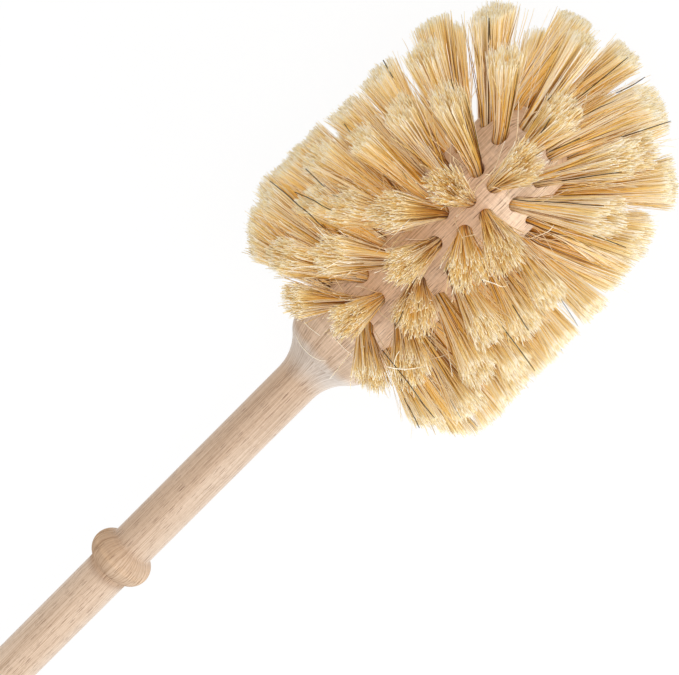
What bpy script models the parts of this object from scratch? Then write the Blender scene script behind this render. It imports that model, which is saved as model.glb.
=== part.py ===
"""Toilet brush: a turned beech body with rings of plant-fibre tufts round its head.

The brush lies along +X with the middle of its butt at the origin, and Z is up.
The tufts stand in slices of the head block, which thread onto its core.
All sizes are in metres and all angles in degrees.
"""

import math
import random

import bmesh
import bpy
from mathutils import Matrix, Vector

# Handle, from the butt to the shoulder
HANDLE_DIAMETER = 0.0171
BUTT_FLAT_DIAMETER = 0.010
GRIP_LENGTH = 0.1255
BEAD_DIAMETER = 0.025
BEAD_WIDTH = 0.0122
BEAD_TO_SHOULDER = 0.1082
COVE_RADIUS = 0.019
SHOULDER_DIAMETER = 0.0293
SHOULDER_ROUNDING = 0.0106

# Head block, from the shoulder to the domed end
BLOCK_DIAMETER = 0.041
SWELL_ANGLE = 23
SWELL_LENGTH = 0.0155
FIRST_RING = 0.0240
RING_PITCH = 0.01145
CROWN_LENGTH = 0.0083
DOME_LENGTH = 0.0125
DRILLED_DEPTH = 0.0085
SPIGOT_DEPTH = 0.0020
SEAT_CLEARANCE = 0.0003

# Rings of tufts, from the shoulder to the tip: the number of tufts, their lean
# towards the tip, the ring's turn as a share of the spacing of its tufts, and how
# far its row of holes was drilled from its even place
RINGS = (
    (10, -10, 0.36, -0.0010),
    (12, -6, 0.0, -0.0008),
    (12, -5, 0.5, 0.0014),
    (12, -5, 0.0, 0.0017),
    (12, -4, 0.5, 0.0018),
    (12, 1, 0.5, 0.0003),
    (12, 24, 0.0, -0.0012),
    (12, 45, 0.0, 0.0008),
)

# Crown: an outer ring and a centre group on the dome
CROWN_RING = (9, 67, 0.5)
CROWN_RING_DIAMETER = 0.0305
CROWN_CENTRE = (4, 84, 0.5)
CROWN_CENTRE_DIAMETER = 0.0112

# Tufts: each is a bundle of locks, narrow in its hole and spread at the tips, where
# a tuft takes up one pitch of the rings along the brush and its own width round it
LOCKS_ACROSS = 2
TUFT_ROOT_WIDTH = 0.0045
ROOT_SPLIT = 0.0005
TUFT_TIP_WIDTH = 0.0124
TIP_SPLIT = 0.0015
ROOT_SINK = 0.0015

# Trim: the tufts are cut to a cylinder that ends in a half ball, and the handle's side
# of the cylinder is cut away at a slant from TRIM_EDGE beyond the shoulder
TRIM_DIAMETER = 0.120
TRIM_EDGE = 0.0218
TRIM_EDGE_ANGLE = 49
CROWN_FREE_LENGTH = 0.038
TRIM_UNEVENNESS = 0.0014
REST_CUT = 0.0005
TRIM_SEED = 12

# Fineness of the round surfaces
BODY_SEGMENTS = 48
BUTT_STEPS = 5
BEAD_STEPS = 12
COVE_STEPS = 10
ROUNDING_STEPS = 3
SWELL_STEPS = 5
DOME_STEPS = 3
SMOOTH_ANGLE = 30

# Stations along the brush, worked out from the sizes above
HANDLE_RADIUS = HANDLE_DIAMETER / 2
SHOULDER_RADIUS = SHOULDER_DIAMETER / 2
BLOCK_RADIUS = BLOCK_DIAMETER / 2
CORE_RADIUS = BLOCK_RADIUS - DRILLED_DEPTH
BEAD_CENTRE = GRIP_LENGTH
SHOULDER = BEAD_CENTRE + BEAD_TO_SHOULDER
RING_STATIONS = [SHOULDER + FIRST_RING + index * RING_PITCH for index in range(len(RINGS))]
COVE_SWEEP = math.degrees(math.acos(1 - (SHOULDER_RADIUS - HANDLE_RADIUS) / COVE_RADIUS))
ROUNDING_CENTRE = (
    SHOULDER + SHOULDER_ROUNDING * math.sin(math.radians(COVE_SWEEP)),
    SHOULDER_RADIUS - SHOULDER_ROUNDING * math.cos(math.radians(COVE_SWEEP)),
)
SWELL_START = ROUNDING_CENTRE[0] - SHOULDER_ROUNDING * math.sin(math.radians(SWELL_ANGLE))
SWELL_START_RADIUS = ROUNDING_CENTRE[1] + SHOULDER_ROUNDING * math.cos(math.radians(SWELL_ANGLE))
BLOCK_FACE = RING_STATIONS[0] - RING_PITCH / 2
CROWN_START = RING_STATIONS[-1] + RING_PITCH / 2
CORE_END = CROWN_START + SPIGOT_DEPTH
BLOCK_END = CROWN_START + CROWN_LENGTH
DOME_START = BLOCK_END - DOME_LENGTH

# Trimmed outline, worked out from the sizes above
TRIM_RADIUS = TRIM_DIAMETER / 2
FREE_LENGTH = TRIM_RADIUS - BLOCK_RADIUS
TRIM_EDGE_START = SHOULDER + TRIM_EDGE
TRIM_EDGE_SLOPE = math.tan(math.radians(TRIM_EDGE_ANGLE))
TRIM_CENTRE = BLOCK_END + CROWN_FREE_LENGTH - TRIM_RADIUS
REST_HEIGHT = -(TRIM_RADIUS - REST_CUT)

AXIS = Vector((1, 0, 0))


def clear_scene():
    for thing in list(bpy.data.objects):
        bpy.data.objects.remove(thing, do_unlink=True)


def finish(name, colour, roughness):
    material = bpy.data.materials.new(name)
    material.use_nodes = True
    shader = material.node_tree.nodes["Principled BSDF"]
    shader.inputs["Base Color"].default_value = (*colour, 1.0)
    shader.inputs["Roughness"].default_value = roughness
    shader.inputs["Metallic"].default_value = 0.0
    return material


def add_object(name, bm, materials, parent):
    """Make a smooth-shaded object out of a bmesh and free the bmesh."""
    bmesh.ops.recalc_face_normals(bm, faces=bm.faces)
    mesh = bpy.data.meshes.new(name)
    bm.to_mesh(mesh)
    bm.free()
    mesh.shade_smooth()
    mesh.set_sharp_from_angle(angle=math.radians(SMOOTH_ANGLE))
    for material in materials:
        mesh.materials.append(material)
    thing = bpy.data.objects.new(name, mesh)
    bpy.context.collection.objects.link(thing)
    thing.parent = parent
    return thing


def turn_outline(outline, segments, start_angle=0.0):
    """Spin an outline of (x, radius) points once round the X axis.

    An outline that ends on the axis stays open there, and any other is closed.
    """
    bm = bmesh.new()
    verts = [bm.verts.new((x, 0.0, radius)) for x, radius in outline]
    pairs = list(zip(verts, verts[1:]))
    if outline[0][1] > 0.0:
        pairs.append((verts[-1], verts[0]))
    edges = [bm.edges.new(pair) for pair in pairs]
    bmesh.ops.spin(
        bm,
        geom=verts + edges,
        cent=(0, 0, 0),
        axis=AXIS,
        angle=math.tau,
        steps=segments,
        use_merge=True,
    )
    bmesh.ops.remove_doubles(bm, verts=bm.verts, dist=1e-7)
    turn = Matrix.Rotation(math.radians(start_angle), 3, "X")
    bmesh.ops.rotate(bm, verts=bm.verts, cent=(0, 0, 0), matrix=turn)
    return bm


def arc(centre, radius, start, end, steps):
    """Points of an arc in the (x, radius) plane, both ends included."""
    angles = [math.radians(start + (end - start) * step / steps) for step in range(steps + 1)]
    return [(centre[0] + radius * math.cos(a), centre[1] + radius * math.sin(a)) for a in angles]


def block_radius(x):
    """Radius of the head block: a swell, a straight barrel and a dome."""
    if x < SWELL_START + SWELL_LENGTH:
        left = 1 - (x - SWELL_START) / SWELL_LENGTH
        return BLOCK_RADIUS - (BLOCK_RADIUS - SWELL_START_RADIUS) * left ** 2
    if x > DOME_START:
        share = min((x - DOME_START) / DOME_LENGTH, 1.0)
        return BLOCK_RADIUS * math.sqrt(1 - share ** 2)
    return BLOCK_RADIUS


def dome_station(radius):
    """Station on the dome where the block has this radius."""
    return DOME_START + DOME_LENGTH * math.sqrt(1 - (radius / BLOCK_RADIUS) ** 2)


def butt_outline():
    edge = HANDLE_RADIUS - BUTT_FLAT_DIAMETER / 2
    return arc((edge, HANDLE_RADIUS - edge), edge, 180, 90, BUTT_STEPS)


def bead_outline():
    """A ring of circular section that swells out of the handle at crisp corners."""
    rise = BEAD_DIAMETER / 2 - HANDLE_RADIUS
    half = BEAD_WIDTH / 2
    radius = (half ** 2 + rise ** 2) / (2 * rise)
    reach = math.degrees(math.asin(half / radius))
    if rise > radius:
        reach = 180 - reach
    centre = (BEAD_CENTRE, BEAD_DIAMETER / 2 - radius)
    return arc(centre, radius, 90 + reach, 90 - reach, BEAD_STEPS)


def cove_outline():
    """The hollow curve that runs out of the handle and steepens up to the shoulder."""
    start = SHOULDER - COVE_RADIUS * math.sin(math.radians(COVE_SWEEP))
    centre = (start, HANDLE_RADIUS + COVE_RADIUS)
    return arc(centre, COVE_RADIUS, -90, -90 + COVE_SWEEP, COVE_STEPS)


def shoulder_outline():
    """The rounding that turns the steep end of the cove into the swell of the block."""
    points = arc(ROUNDING_CENTRE, SHOULDER_ROUNDING, 90 + COVE_SWEEP, 90 + SWELL_ANGLE, ROUNDING_STEPS)
    return points[1:]


def swell_outline(end):
    length = min(SWELL_LENGTH, end - SWELL_START)
    stations = [SWELL_START + length * step / SWELL_STEPS for step in range(1, SWELL_STEPS + 1)]
    if stations[-1] < end:
        stations.append(end)
    return [(x, block_radius(x)) for x in stations]


def make_turned_handle(beech, parent):
    """Grip, bead, shaft, cove, shoulder and the core that carries the drilled slices."""
    face = BLOCK_FACE - SEAT_CLEARANCE / 2
    outline = [(0.0, 0.0)]
    outline += butt_outline()
    outline += bead_outline()
    outline += cove_outline()
    outline += shoulder_outline()
    outline += swell_outline(face)
    outline += [(face, CORE_RADIUS), (CORE_END, CORE_RADIUS), (CORE_END, 0.0)]
    bm = turn_outline(outline, BODY_SEGMENTS)
    return add_object("turned_handle", bm, [beech], parent)


def edge_distance(start, direction):
    """How far a fibre that leans back to the handle runs before it meets the slanted edge."""
    slope = TRIM_EDGE_SLOPE * direction.x
    height = TRIM_RADIUS - TRIM_EDGE_SLOPE * (TRIM_EDGE_START - start.x)
    flat = Vector((0, direction.y, direction.z))
    flat_start = Vector((0, start.y, start.z))
    square = flat.length_squared - slope ** 2
    across = flat.dot(flat_start) - height * slope
    inside = height ** 2 - flat_start.length_squared
    return (-across + math.sqrt(across ** 2 + square * inside)) / square


def trim_distance(start, direction):
    """How far a fibre runs from start before it meets the trimmed outline or the rest."""
    flat = Vector((0, direction.y, direction.z))
    flat_start = Vector((0, start.y, start.z))
    across = flat.dot(flat_start)
    inside = TRIM_RADIUS ** 2 - flat_start.length_squared
    distance = math.inf
    if flat.length_squared > 0:
        distance = (-across + math.sqrt(across ** 2 + flat.length_squared * inside)) / flat.length_squared
    if start.x + direction.x * distance > TRIM_CENTRE:
        local = start - AXIS * TRIM_CENTRE
        along = direction.dot(local)
        distance = -along + math.sqrt(along ** 2 + TRIM_RADIUS ** 2 - local.length_squared)
    if direction.x < 0:
        distance = min(distance, edge_distance(start, direction))
    if direction.z < 0:
        return min(distance, (REST_HEIGHT - start.z) / direction.z)
    return distance


def on_rest(point):
    return abs(point.z - REST_HEIGHT) < 1e-7


def corners(centre, right, up):
    """Four corners of a rectangle from its centre and its two half sides."""
    signs = ((-1, -1), (1, -1), (1, 1), (-1, 1))
    return [centre + right * a + up * b for a, b in signs]


def add_lock(bm, roots, aims, uneven):
    """A four-sided lock of fibre that widens from its roots and is cut at the trimmed outline."""
    rays = [(root, (aim - root).normalized()) for root, aim in zip(roots, aims)]
    tips = [root + ray * trim_distance(root, ray) for root, ray in rays]
    if not any(on_rest(tip) for tip in tips):
        tips = [tip - ray * uneven for tip, (root, ray) in zip(tips, rays)]
    low = [bm.verts.new(point) for point in roots]
    high = [bm.verts.new(point) for point in tips]
    bm.faces.new(reversed(low))
    bm.faces.new(high)
    for index in range(4):
        following = (index + 1) % 4
        bm.faces.new((low[index], low[following], high[following], high[index]))


def add_tuft(bm, base, outward, lean, chance):
    """A bundle of locks that leans from the outward direction towards the tip."""
    tilt = math.radians(lean)
    direction = outward * math.cos(tilt) + AXIS * math.sin(tilt)
    right = AXIS * math.cos(tilt) - outward * math.sin(tilt)
    up = direction.cross(right)
    root_pitch = (TUFT_ROOT_WIDTH + ROOT_SPLIT) / LOCKS_ACROSS
    tip_pitch_along = RING_PITCH / LOCKS_ACROSS
    tip_pitch_round = (TUFT_TIP_WIDTH + TIP_SPLIT) / LOCKS_ACROSS
    root_half = (root_pitch - ROOT_SPLIT) / 2
    half_along = (tip_pitch_along - TIP_SPLIT) / 2
    half_round = (tip_pitch_round - TIP_SPLIT) / 2
    middle = (LOCKS_ACROSS - 1) / 2
    for row in range(LOCKS_ACROSS):
        for column in range(LOCKS_ACROSS):
            along = row - middle
            around = column - middle
            root = base - direction * ROOT_SINK + (right * along + up * around) * root_pitch
            aim = base + direction * FREE_LENGTH
            aim += right * along * tip_pitch_along + up * around * tip_pitch_round
            roots = corners(root, right * root_half, up * root_half)
            aims = corners(aim, right * half_along, up * half_round)
            add_lock(bm, roots, aims, chance.uniform(0, TRIM_UNEVENNESS))


def add_ring_of_tufts(bm, ring, station, radius, chance):
    count, lean, turn = ring
    for index in range(count):
        angle = math.tau * (index + turn) / count
        outward = Vector((0, -math.sin(angle), math.cos(angle)))
        add_tuft(bm, AXIS * station + outward * radius, outward, lean, chance)


def fuse_tufts(slice_object, bm, fibre, parent):
    """Join the locks to their slice of the block, which keeps them one solid."""
    locks = add_object(slice_object.name + "_locks", bm, [fibre], parent)
    locks.hide_render = True
    locks.display_type = "WIRE"
    union = slice_object.modifiers.new("fuse_tufts", "BOOLEAN")
    union.operation = "UNION"
    union.solver = "EXACT"
    union.material_mode = "TRANSFER"
    union.object = locks


def facet_start(count, turn):
    """Angle that centres a flat facet of a slice under each of its tufts."""
    spacing = 360 / count
    return turn * spacing + spacing / 4


def slice_outline(start, end, stations):
    bore = CORE_RADIUS + SEAT_CLEARANCE
    outer = [(x, block_radius(x)) for x in [start, *stations, end]]
    return [(start, bore), *outer, (end, bore)]


def make_tuft_ring(number, ring, station, chance, beech, fibre, parent):
    count, lean, turn, shift = ring
    start = station - (RING_PITCH - SEAT_CLEARANCE) / 2
    end = station + (RING_PITCH - SEAT_CLEARANCE) / 2
    row = station + shift
    bends = []
    if end > DOME_START:
        footing = (TUFT_ROOT_WIDTH / 2 + ROOT_SPLIT) / math.cos(math.radians(lean))
        bends = [row - footing, row + footing]
    outline = slice_outline(start, end, bends)
    bm = turn_outline(outline, 2 * count, facet_start(count, turn))
    ring_slice = add_object(f"tuft_ring_{number}", bm, [beech, fibre], parent)
    locks = bmesh.new()
    add_ring_of_tufts(locks, (count, lean, turn), row, block_radius(row), chance)
    fuse_tufts(ring_slice, locks, fibre, parent)


def make_tuft_crown(chance, beech, fibre, parent):
    """The domed end of the block, a cap on the core with two rings of tufts."""
    start = CROWN_START + SEAT_CLEARANCE / 2
    seat = CORE_END + SEAT_CLEARANCE
    bore = CORE_RADIUS + SEAT_CLEARANCE
    first = math.acos((start - DOME_START) / DOME_LENGTH)
    outline = [(seat, 0.0), (seat, bore), (start, bore)]
    for step in range(DOME_STEPS):
        angle = first * (1 - step / DOME_STEPS)
        x = DOME_START + DOME_LENGTH * math.cos(angle)
        outline.append((x, block_radius(x)))
    outline.append((BLOCK_END, 0.0))
    count, lean, turn = CROWN_RING
    bm = turn_outline(outline, 2 * count, facet_start(count, turn))
    crown = add_object("tuft_crown", bm, [beech, fibre], parent)
    locks = bmesh.new()
    for ring, diameter in ((CROWN_RING, CROWN_RING_DIAMETER), (CROWN_CENTRE, CROWN_CENTRE_DIAMETER)):
        radius = diameter / 2
        add_ring_of_tufts(locks, ring, dome_station(radius), radius, chance)
    fuse_tufts(crown, locks, fibre, parent)


def main():
    clear_scene()
    chance = random.Random(TRIM_SEED)
    beech = finish("beech", (0.68, 0.49, 0.36), 0.6)
    fibre = finish("plant_fibre", (0.66, 0.45, 0.18), 0.75)
    brush = bpy.data.objects.new("brush_axis", None)
    bpy.context.collection.objects.link(brush)
    make_turned_handle(beech, brush)
    for index, ring in enumerate(RINGS):
        make_tuft_ring(index + 1, ring, RING_STATIONS[index], chance, beech, fibre, brush)
    make_tuft_crown(chance, beech, fibre, brush)


main()
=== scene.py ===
"""The finished toilet brush: turned beech with drilled holes, and tufts of single plant fibres."""

import math

import bpy
import numpy as np
from mathutils import Matrix, Vector


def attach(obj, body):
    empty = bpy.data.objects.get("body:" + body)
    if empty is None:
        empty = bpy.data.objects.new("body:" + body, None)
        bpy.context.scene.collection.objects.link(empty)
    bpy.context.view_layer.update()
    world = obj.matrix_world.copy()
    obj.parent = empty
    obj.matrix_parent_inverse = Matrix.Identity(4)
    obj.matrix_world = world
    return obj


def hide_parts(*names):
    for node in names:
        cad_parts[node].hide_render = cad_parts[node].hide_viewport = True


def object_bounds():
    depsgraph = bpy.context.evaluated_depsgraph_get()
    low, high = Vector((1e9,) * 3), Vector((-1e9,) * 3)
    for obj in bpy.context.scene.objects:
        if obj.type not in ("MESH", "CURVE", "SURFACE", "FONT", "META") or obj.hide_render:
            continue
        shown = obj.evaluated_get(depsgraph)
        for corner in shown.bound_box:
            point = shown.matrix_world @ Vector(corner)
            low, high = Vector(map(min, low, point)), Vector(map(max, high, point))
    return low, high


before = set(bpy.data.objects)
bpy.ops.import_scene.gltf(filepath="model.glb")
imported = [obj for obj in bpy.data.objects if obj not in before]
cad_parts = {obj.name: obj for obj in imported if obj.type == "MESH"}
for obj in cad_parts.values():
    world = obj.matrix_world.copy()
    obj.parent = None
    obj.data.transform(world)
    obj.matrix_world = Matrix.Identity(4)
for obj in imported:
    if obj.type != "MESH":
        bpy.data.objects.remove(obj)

CAD_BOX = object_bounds()

# Camera, as the photograph shows the brush
TIP_TILT = math.radians(12.5)
AIM = Vector((0.2434, 0.00038, 0))
CAMERA_DISTANCE = 0.93
METRES_PER_PIXEL = 0.0003619
IMAGE_WIDTH = 679
SENSOR_WIDTH = 36

# Turned body. Sizes are in metres, here and below, unless a line says otherwise. Stations are
# counted along the brush from the butt, only the first ring's from the shoulder
HANDLE_RADIUS = 0.00855
BUTT_FLAT_RADIUS = 0.005
BEAD_CENTRE = 0.1255
BEAD_RADIUS = 0.0125
BEAD_HALF_WIDTH = 0.0061
BEAD_FILLET = 0.0008
COVE_RADIUS = 0.019
SHOULDER = 0.2337
SHOULDER_RADIUS = 0.01465
SHOULDER_ROUNDING = 0.0106
SWELL_ANGLE = math.radians(23)
SWELL_LENGTH = 0.0155
BLOCK_RADIUS = 0.0205
FIRST_RING = 0.0240
RING_PITCH = 0.01145
CROWN_LENGTH = 0.0083
DOME_LENGTH = 0.0125
BODY_SEGMENTS = 160
BUTT_STEPS = 10
FILLET_STEPS = 5
BEAD_STEPS = 28
COVE_STEPS = 24
ROUNDING_STEPS = 8
BLOCK_STEPS = 12
SMOOTH_ANGLE = math.radians(25)

# Wood finish: the radius that the grain is laid out on, for the handle and for the head, and
# how soon the one follows the other, then the stations where a mark comes and goes
EVEN_RADII = (0.0095, 0.0165)
EVEN_CHANGE = 0.0004
END_GRAIN_STATIONS = (0.2215, 0.2300, 0.2350, 0.2380)
BEAD_STATIONS = (0.1170, 0.1185, 0.1300, 0.1330)
# Where the painted shade beside the bead and the painted highlight on its crest are laid
BEAD_LIGHT_STATIONS = (0.1150, 0.1355)
# Where the painted light on the head's wood comes in
PAINTED_HEAD_LIGHT_STATIONS = (0.234, 0.256)
TURNING_STATIONS = (0.228, 0.237)

# Scales along the brush and across it: the higher, the closer the marks
BAND_SCALE = (5, 95, 95)
GRAIN_SCALE = (26, 2600, 2600)
TURNING_SCALE = (1300, 25, 25)

# Pores: length and width, and the size of the mark as a share of that
PORES = (0.0075, 0.00034, 0.29)
FINE_PORES = (0.0036, 0.00028, 0.31)

# Rings of tufts: count, lean towards the tip in degrees, turn as a share of the spacing
RINGS = (
    (10, -10, 0.36),
    (12, -6, 0.0),
    (12, -5, 0.5),
    (12, -5, 0.0),
    (12, -4, 0.5),
    (12, 1, 0.5),
    (12, 24, 0.0),
    (12, 45, 0.0),
)
# The same for the two rings on the dome, and each ring's radius there
CROWN_RINGS = (
    ((9, 67, 0.5), 0.01525),
    ((4, 84, 0.5), 0.0056),
)

# Drilled holes, each with a mouth that is a little wider
HOLE_RADIUS = 0.00275
HOLE_DEPTH = 0.0075
HOLE_SIDES = 20
MOUTH_DEPTH = 0.0003
MOUTH_WIDENING = 1.07
BIT_ABOVE = 0.002

# The outline that the head is trimmed to, with an edge that slants in on the handle's side
TRIM_RADIUS = 0.060
TRIM_EDGE_START = 0.2555
TRIM_EDGE_SLOPE = math.tan(math.radians(49))
CROWN_FREE_LENGTH = 0.038

# Rows are not drilled evenly: how far each ring stands from its even place, in millimetres
RING_SHIFTS = (-1.0, -0.8, 1.4, 1.7, 1.8, 0.3, -1.2, 0.8)

# Tufts that are worn to one side. Ring and place in it, then the hole's shift in millimetres,
# along the brush or out on the dome, and its turn in degrees, then the tuft's lean to the tip
# and its swing round the head in degrees, and for a tuft that is slimmer than the others, its
# share of their spread
WORN_TUFTS = {
    (1, 0): (-0.6, -4, -9, 15),
    (1, 1): (-2.6, 2, -5, -2, 0.85),
    (1, 8): (-1.3, 3, -7, -1, 0.85),
    (1, 9): (0.6, 0, -12, 0),
    (2, 0): (-1.9, -1, -8, -3),
    (2, 11): (-0.1, 0, -14, -9),
    (3, 0): (1.2, 1, -4, -5),
    (3, 1): (1.6, 2, -5, -2),
    (3, 11): (1.5, -2, -13, -10),
    (4, 0): (3.7, 0, -11, -3),
    (4, 2): (-1.4, -3, -5, 4),
    (4, 11): (1.7, -4, -9, 2),
    (5, 0): (2.5, -2, -5, 3),
    (5, 1): (1.1, 3, -4, -3),
    (5, 2): (1.8, 0, -5, -2, 0.9),
    (5, 3): (1.8, 0, -11, 0, 0.9),
    (5, 10): (1.8, 0, 2, -4),
    (5, 11): (1.7, -2, -11, -3),
    (6, 0): (0.5, 2, 0, 4),
    (6, 2): (0.3, 0, 6, -7, 0.9),
    (6, 3): (0.3, 0, 17, 9),
    (6, 4): (0.3, 0, 17, -15),
    (6, 9): (0.3, 0, 12, 3),
    (6, 10): (0.3, 0, 12, 2),
    (6, 11): (0.2, 8, 5, -6),
    (7, 0): (-1.1, 1, 26, 2),
    (7, 1): (-0.8, 1, 34, 13),
    (7, 2): (-1.2, 0, 33, 5),
    (7, 3): (-1.2, 0, 15, 34),
    (7, 4): (-1.2, 0, 29, 2, 0.85),
    (7, 7): (-1.2, 0, 29, -5),
    (7, 8): (-1.2, 0, 32, 7, 0.75),
    (7, 9): (-1.2, 0, 32, 2),
    (7, 10): (-1.2, 0, 23, 2),
    (7, 11): (-2.0, 7, 21, -15),
    (8, 0): (0.9, -2, 42, 1),
    (8, 1): (0.4, 1, 47, 3),
    (8, 2): (0.7, 4, 52, 8),
    (8, 3): (0.8, 0, 50, -12),
    (8, 5): (0.8, 0, 44, -2),
    (8, 6): (0.8, 0, 49, -11),
    (8, 7): (0.8, 0, 50, 4),
    (8, 8): (0.8, 0, 49, 14),
    (8, 9): (0.8, 0, 54, 21, 0.9),
    (8, 10): (0.8, 0, 44, -5, 0.75),
    (8, 11): (0.7, -1, 38, -4),
    (9, 0): (1.4, 3, 82, 19),
    (9, 1): (-0.3, 6, 47, -23),
    (9, 2): (0.0, 0, 71, 18),
    (9, 3): (0.0, 0, 58, 5),
    (9, 4): (0.0, 0, 79, -3, 0.65),
    (9, 5): (0.0, 0, 65, -4, 0.75),
    (9, 6): (0.5, -14, 77, -3, 0.85),
    (9, 7): (0.5, -8, 81, 0, 0.9),
    (9, 8): (0.9, -3, 74, -5, 0.9),
    (10, 0): (0.0, 0, 58, -3, 0.85),
    (10, 1): (0.0, 0, 48, 3, 0.85),
    (10, 2): (0.0, 0, 111, 9, 0.7),
    (10, 3): (-2.0, 0, 94, 2, 0.7),
}

# How unevenly the other tufts stand: shift in millimetres, then twist, lean and swing in degrees
UNEVEN_SHIFT = 0.3
UNEVEN_TWIST = 1.2
UNEVEN_LEAN = 3
UNEVEN_SWING = 4

# Fibres. The shares say where along its length a fibre has corners. A fill of 0.5 spreads the
# roots evenly, and less sets them closer near the hole's edge
FIBRES_PER_TUFT = 380
LOOSE_HAIRS_PER_TUFT = 4
FIBRE_RADIUS = 0.000142
FIBRE_SHARES = (0.0, 0.22, 0.6, 0.94, 1.0)
STREAKS_PER_TUFT = 160
BUNDLE_RADIUS = 0.0024
ROOT_SINK = 0.003
SPREAD = 2.6
DISC_FILL = 0.41
FIBRE_SEED = 5
FIBRE_BREADTH = 1.2
FIBRE_DEPTH = 0.8
THICKNESS_RANGE = (0.75, 1.3)
TAPER = 0.05
END_TAPER = 0.3
UNEVEN_FACING = 0.004
ANY_TURN = (0, 6)
SIDE_HINT = (0.3, 0.5, 0.8)
END_ABOVE_FLOOR = 0.0003
PATH_ABOVE_FLOOR = 0.0002
NEARLY_PARALLEL = 0.05

# Where a tuft's fibres end: they keep together in 9 to 15 locks, a few stray and a few hang
# loose
LOCK_COUNTS = (9, 16)
LOCK_SPAN = 0.9
SPREAD_RANGE = (0.88, 1.12)
UNEVEN_ROOT = 0.00006
UNEVEN_LOCK = 0.0005
UNEVEN_TIP = 0.0006
FOLD_WIDTH = 0.0005
STRAY_SHARE = 0.07
UNEVEN_STRAY = 0.0028
UNEVEN_LOOSE = 0.008

# How the ends are cut and frayed, and how a fibre bends, waves and curls on its way
FRAY_BASE = 0.3
FRAY_RANGE = (0.7, 1.3)
CUT_BASE = 0.6
UNEVEN_LOCK_CUT = 0.0005
UNEVEN_CUT = 0.0004
CUT_BACK = 0.0006
SHORT_SHARE = 0.1
SHORT_BY = 0.003
LOOSE_LENGTHS = (0.45, 0.95)
BEND = 0.0006
LOOSE_BEND = 9
STRAY_BEND = 3
WAVE = 0.0002
WAVE_TURNS = 9
CURL = 0.0003
CURL_START = 0.88
CURL_LENGTH = 0.12
HOLE_HOLD = 0.35

# Tones run from 0, brown, to 0.95, pale, and a hair above 0.97 is nearly black. They are paler
# near a tuft's rim and uneven by lock, streak and fibre
MIDDLE_TONE = 0.51
RIM_TONE = 0.22
UNEVEN_LOCK_TONE = 0.06
UNEVEN_STREAK_TONE = 0.36
UNEVEN_TONE = 0.30
UNEVEN_TONE_ABOVE = 0.1
BROWN_SHARE = 0.07
BROWN_TONE = 0.05
LOOSE_TONE = 0.85
TONE_LIMITS = (0.02, 0.94)
RIM_START = 0.93
DARK_PER_TUFT = 0.5

# What a fibre shows once light has bounced more often than this: a glow in its own colour
DEEP_BOUNCES = 2.5
DEEP_GLOW = 1.4

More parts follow.
